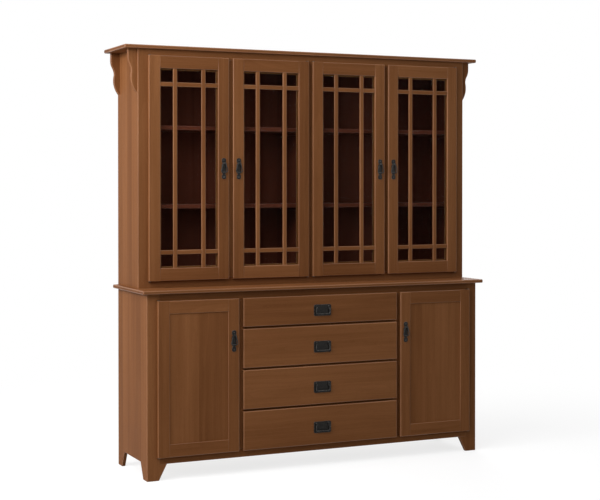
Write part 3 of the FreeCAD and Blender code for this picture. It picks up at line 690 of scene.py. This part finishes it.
MATERIALS = {
    "stained_wood": wood_material("stained_cherry", STAIN, INSIDE_STAIN_AND_SHADE, STAIN_ROUGHNESS),
    "plain_wood": wood_material("plain_birch", PLAIN, INSIDE_STAIN_AND_SHADE, PLAIN_ROUGHNESS),
    "black_iron": iron_material(),
    "dark_steel": steel_material(),
    "clear_glass": glass_material(),
}


# Boards

TOPS = ("base_top", "hutch_top")


def hutch_room():
    """The space inside the hutch."""
    left, front, bottom = (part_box(f"hutch_{side}") for side in ("left_side", "face_frame", "floor"))
    right, back, top = (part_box(node) for node in ("hutch_right_side", "back_panels", "hutch_top"))
    low = Vector((left[1].x, front[1].y, bottom[0].z))
    high = Vector((right[0].x, back[0].y, top[0].z))
    return low, high


def arris_rule(node):
    """The round that each free edge of a node gets."""
    low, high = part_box(node)
    opens = node.endswith("_front") or "door" in node

    def width(edge):
        middle = (edge.verts[0].co + edge.verts[1].co) / 2
        if node in TOPS:
            return TOP_ARRIS
        if opens and middle.y < low.y + TOUCH:
            rim = min(middle.x - low.x, high.x - middle.x, middle.z - low.z, high.z - middle.z)
            return FRONT_ARRIS if rim < TOUCH else PANEL_ARRIS
        return ARRIS

    return width


def grain_axes(node, low, high):
    """Axes across the width, through the thickness and along the grain of a board."""
    size = high - low
    thin, wide, along = sorted((X, Y, Z), key=lambda axis: size[axis])
    if node == "back_panels":
        thin, wide, along = Y, X, Z
    return wide, thin, along


def dress_board(node):
    """Stands a rounded and grained copy of a wooden node in its place."""
    joined = wood_boxes[body_of(node)]
    mesh, boards, rounds = rounded_mesh(node, arris_rule(node), joined)
    layouts = []
    for faces in solids_of[node]:
        low, high = box_of(faces)
        wide, thin, along = grain_axes(node, low, high)
        planks = max(1, round((high - low)[wide] / PLANK_WIDTH))
        layouts.append({
            "axes": (wide, thin, along),
            "centre": (low + high) / 2,
            "offset": Vector((0.0, 0.0, chance.uniform(0.0, LOG_LENGTH))),
            "low": low[wide],
            "plank": (high - low)[wide] / planks,
            "first": chance.randrange(PLANK_NUMBERS) * NUMBERS_APART,
        })
    board_of_point = {}
    for polygon, board in zip(mesh.polygons, boards):
        for vertex in polygon.vertices:
            board_of_point[vertex] = layouts[board]
    places = []
    planks = []
    for vertex in mesh.vertices:
        layout = board_of_point[vertex.index]
        from_centre = vertex.co - layout["centre"]
        places.append(Vector([from_centre[axis] for axis in layout["axes"]]) + layout["offset"])
        across = (vertex.co[layout["axes"][0]] - layout["low"]) / layout["plank"]
        planks.append(layout["first"] + across)
    room = hutch_room()
    # Marks the faces inside the hutch, which get the painted shade of the inside colours
    inside = [float(node not in TOPS and holds(room, polygon.center + polygon.normal * ROOM_PROBE))
              for polygon in mesh.polygons]
    ends = [float(abs(polygon.normal[layouts[board]["axes"][2]]) > END_FACING)
            for polygon, board in zip(mesh.polygons, boards)]
    note(mesh, "board_place", "FLOAT_VECTOR", "POINT", places)
    note(mesh, "board_plank", "FLOAT", "POINT", planks)
    note(mesh, "arris", "FLOAT", "FACE", rounds)
    note(mesh, "inside", "FLOAT", "FACE", inside)
    note(mesh, "end_grain", "FLOAT", "FACE", ends)
    put_piece(f"{node}_finish", mesh, node, MATERIALS[slot_of(node)])


for wood_node in sorted(solids_of):
    if slot_of(wood_node) in WOODS:
        dress_board(wood_node)


# Pulls

def turned(bm, profile, centre, axis):
    """A ring or dome turned about an axis through a centre; the profile is (radius, height) points."""
    across = (axis + 1) % 3
    beside = (axis + 2) % 3
    rings = []
    for step in range(ROUND_STEPS):
        angle = 2 * math.pi * step / ROUND_STEPS
        ring = []
        for radius, height in profile:
            point = Vector(centre)
            point[axis] += height
            point[across] += radius * math.cos(angle)
            point[beside] += radius * math.sin(angle)
            ring.append(bm.verts.new(point))
        rings.append(ring)
    count = len(profile)
    for ring, following in zip(rings, rings[1:] + rings[:1]):
        for number in range(count):
            after = (number + 1) % count
            bm.faces.new((ring[number], following[number], following[after], ring[after]))
    bmesh.ops.remove_doubles(bm, verts=[vertex for ring in rings for vertex in ring], dist=MERGE)


def bail_line(kind, drop):
    """Centre line of a hanging loop in X and Z, from eye to eye, with its lower bends as arcs."""
    pull = PULLS[kind]
    eye = Vector(((pull["top_width"] - pull["bar"]) / 2, 0.0))
    corner = Vector(((pull["bottom_width"] - pull["bar"]) / 2, pull["bar"] / 2 - drop))
    down = (corner - eye).normalized()
    turn = Vector((-1.0, 0.0)).angle(down)
    back_off = pull["bend"] * math.tan(turn / 2)
    start = corner - down * back_off
    inward = Vector((-down.y, down.x))
    inward = inward if inward.x < 0 else -inward
    centre = start + inward * pull["bend"]
    first = math.atan2(start.y - centre.y, start.x - centre.x)
    arc = []
    for step in range(ARC_STEPS + 1):
        angle = first - turn * step / ARC_STEPS
        arc.append(centre + pull["bend"] * Vector((math.cos(angle), math.sin(angle))))
    leg_start = eye + down * (EYE_REACH - LEG_SINK)
    half = [leg_start, leg_start.lerp(start, 0.5)] + arc + [Vector((arc[-1].x / 2, arc[-1].y))]
    middle = [Vector((0.0, arc[-1].y))]
    mirrored = [Vector((-point.x, point.y)) for point in reversed(half)]
    return half + middle + mirrored


def swept_bar(bm, line, centre, half_width, half_depth):
    """A rounded bar along a line in X and Z, a little thicker at the middle of its length."""
    rings = []
    last = len(line) - 1
    for number, point in enumerate(line):
        before = line[max(number - 1, 0)]
        after = line[min(number + 1, last)]
        heading = (after - before).normalized()
        side = Vector((-heading.y, heading.x))
        grown = 1 - BAR_SWELL * (1 - math.sin(math.pi * number / last))
        ring = []
        for step in range(BAR_SIDES):
            angle = 2 * math.pi * step / BAR_SIDES
            across = math.copysign(abs(math.cos(angle)) ** BAR_SQUARENESS, math.cos(angle))
            deep = math.copysign(abs(math.sin(angle)) ** BAR_SQUARENESS, math.sin(angle))
            spot = point + side * across * half_width * grown
            depth = deep * half_depth * grown
            ring.append(bm.verts.new((centre.x + spot.x, centre.y + depth, centre.z + spot.y)))
        rings.append(ring)
    for ring, following in zip(rings, rings[1:]):
        for step in range(BAR_SIDES):
            after = (step + 1) % BAR_SIDES
            bm.faces.new((ring[step], ring[after], following[after], following[step]))
    bm.faces.new(rings[0])
    bm.faces.new(rings[-1])


def finished_mesh(bm, name):
    """The mesh of smooth faces, all turned outwards."""
    bmesh.ops.recalc_face_normals(bm, faces=bm.faces[:])
    mesh = bpy.data.meshes.new(name)
    bm.to_mesh(mesh)
    bm.free()
    for polygon in mesh.polygons:
        polygon.use_smooth = True
    return mesh


def dress_bail(node):
    """A forged loop with two eyes, in the place of a node."""
    kind = "drawer" if node.startswith("drawer") else "door"
    low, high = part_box(node)
    pivot = Vector(((low.x + high.x) / 2, (low.y + high.y) / 2, high.z - EYE_REACH))
    pull = PULLS[kind]
    half_depth = (high.y - low.y) / 2
    bm = bmesh.new()
    swept_bar(bm, bail_line(kind, pivot.z - low.z), pivot, pull["bar"] / 2, half_depth)
    half_eye = pull["bar"] / 2
    profile = [
        (EYE_BORE, -half_eye + EYE_ROUND),
        (EYE_BORE + EYE_ROUND, -half_eye),
        (half_depth - EYE_ROUND, -half_eye),
        (half_depth, -half_eye + EYE_ROUND),
        (half_depth, half_eye - EYE_ROUND),
        (half_depth - EYE_ROUND, half_eye),
        (EYE_BORE + EYE_ROUND, half_eye),
        (EYE_BORE, half_eye - EYE_ROUND),
    ]
    for side in (-1, 1):
        eye_centre = pivot + Vector((side * (pull["top_width"] - pull["bar"]) / 2, 0.0, 0.0))
        turned(bm, profile, eye_centre, X)
    mesh = finished_mesh(bm, node)
    # The whole loop gets part of the pale colour, as wear and a painted highlight
    note(mesh, "arris", "FLOAT", "FACE", [BAIL_WEAR_AND_HIGHLIGHT] * len(mesh.polygons))
    put_piece(f"{node}_finish", mesh, node, MATERIALS["black_iron"])


def dress_plate(node):
    """A plate with softened edges and domed screw heads, in the place of a node."""
    kind = "drawer" if node.startswith("drawer") else "door"
    mesh, _, rounds = rounded_mesh(node, lambda edge: IRON_ARRIS, [])
    low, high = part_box(node)
    front = high.y - PLATE_THICKNESS
    middle = Vector(((low.x + high.x) / 2, front, (low.z + high.z) / 2))
    bm = bmesh.new()
    bm.from_mesh(mesh)
    plate_faces = len(bm.faces)
    dome = [(0.0, SCREW_SINK), (SCREW_RADIUS, SCREW_SINK)]
    for step in range(DOME_STEPS + 1):
        angle = math.pi / 2 * step / DOME_STEPS
        dome.append((SCREW_RADIUS * math.cos(angle), -SCREW_RISE * math.sin(angle)))
    for across, up in PULLS[kind]["screws"]:
        turned(bm, dome, middle + Vector((across, 0.0, up)), Y)
    finished = finished_mesh(bm, node)
    bpy.data.meshes.remove(mesh)
    heads = len(finished.polygons) - plate_faces
    # Screw heads get the pale colour, as wear and a painted highlight
    note(finished, "arris", "FLOAT", "FACE", rounds + [SCREW_WEAR_AND_HIGHLIGHT] * heads)
    put_piece(f"{node}_finish", finished, node, MATERIALS["black_iron"])


for pull_node in sorted(solids_of):
    if pull_node.endswith("_pull_bail"):
        dress_bail(pull_node)
    if pull_node.endswith("_pull_plate"):
        dress_plate(pull_node)

# Glass, hinges and catches keep their own shapes
for plain_node, item in frame["nodes"].items():
    if slot_of(plain_node) in ("clear_glass", "dark_steel"):
        item.material_slots[0].material = MATERIALS[slot_of(plain_node)]


# Studio

def seen_rays(tree):
    """1 for rays from the camera, mirrors and glass, 0 for light on its way to the object."""
    path = add(tree, "ShaderNodeLightPath", {}).outputs
    seen = sums(tree, "MAXIMUM", path["Is Camera Ray"], path["Is Glossy Ray"])
    return sums(tree, "MAXIMUM", seen, path["Is Transmission Ray"])


def make_world():
    """White where it is seen, and soft light on the object."""
    world = bpy.data.worlds.new("studio")
    world.use_nodes = True
    tree = world.node_tree
    tree.nodes.clear()
    strength = spread(tree, seen_rays(tree), 0.0, 1.0, AMBIENT, BACKGROUND)
    light = add(tree, "ShaderNodeBackground", {"Color": WHITE, "Strength": strength})
    output = add(tree, "ShaderNodeOutputWorld", {})
    tree.links.new(light.outputs["Background"], output.inputs["Surface"])
    bpy.context.scene.world = world


def floor_material():
    """White floor that keeps the shadow near the object and fades to plain white further out."""
    material, tree, output = start_material("studio_floor")
    place = add(tree, "ShaderNodeTexCoord", {}).outputs["Object"]
    far = add(tree, "ShaderNodeVectorMath", {0: place}, operation="LENGTH").outputs["Value"]
    far = spread(tree, far, SHADOW_RADIUS, WHITE_RADIUS, 0.0, 1.0)
    matt = add(tree, "ShaderNodeBsdfDiffuse", {"Color": FLOOR_GREY})
    lift = add(tree, "ShaderNodeEmission", {"Color": WHITE, "Strength": FLOOR_LIFT})
    near_look = add(tree, "ShaderNodeAddShader", {0: matt.outputs["BSDF"], 1: lift.outputs["Emission"]})
    white = add(tree, "ShaderNodeEmission", {"Color": WHITE, "Strength": BACKGROUND})
    look = {"Fac": far, 1: near_look.outputs["Shader"], 2: white.outputs["Emission"]}
    look = add(tree, "ShaderNodeMixShader", look)
    bounce = add(tree, "ShaderNodeBsdfDiffuse", {"Color": FLOOR_BOUNCE})
    both = {"Fac": seen_rays(tree), 1: bounce.outputs["BSDF"], 2: look.outputs["Shader"]}
    both = add(tree, "ShaderNodeMixShader", both)
    tree.links.new(both.outputs["Shader"], output.inputs["Surface"])
    return material


def make_floor():
    """A round floor under the object."""
    mesh = bpy.data.meshes.new("floor")
    rim = []
    for corner in range(FLOOR_CORNERS):
        angle = 2 * math.pi * corner / FLOOR_CORNERS
        rim.append((FLOOR_RADIUS * math.cos(angle), FLOOR_RADIUS * math.sin(angle), 0.0))
    mesh.from_pydata(rim, [], [range(FLOOR_CORNERS)])
    mesh.materials.append(floor_material())
    floor = bpy.data.objects.new("floor", mesh)
    bpy.context.scene.collection.objects.link(floor)
    floor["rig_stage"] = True


def make_lamps():
    """Large soft lamps."""
    for name, (place, aim, size, power, colour) in LAMPS.items():
        light = bpy.data.lights.new(name, "AREA")
        light.color = colour
        light.shape = "RECTANGLE"
        light.size, light.size_y = size
        light.energy = power
        lamp = bpy.data.objects.new(name, light)
        lamp.location = place
        lamp.rotation_euler = (Vector(aim) - Vector(place)).to_track_quat("-Z", "Y").to_euler()
        bpy.context.scene.collection.objects.link(lamp)


def make_camera():
    """The photograph's camera."""
    camera = bpy.data.cameras.new("camera")
    camera.sensor_width = SENSOR_WIDTH
    camera.lens = FOCAL_PIXELS * SENSOR_WIDTH / IMAGE_WIDTH
    camera.shift_y = -AXIS_ABOVE_CENTRE / IMAGE_WIDTH
    yaw = math.radians(CAMERA_YAW)
    pitch = math.radians(CAMERA_PITCH)
    heading = Vector((math.sin(yaw) * math.cos(pitch), math.cos(yaw) * math.cos(pitch), math.sin(pitch)))
    stand = bpy.data.objects.new("camera", camera)
    stand.location = CAMERA_PLACE
    stand.rotation_euler = heading.to_track_quat("-Z", "Y").to_euler()
    bpy.context.scene.collection.objects.link(stand)
    bpy.context.scene.camera = stand


make_world()
make_floor()
make_lamps()
make_camera()
bpy.context.scene.view_settings.view_transform = "Standard"

boxes = {"cad": cad_box, "visual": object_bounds()}
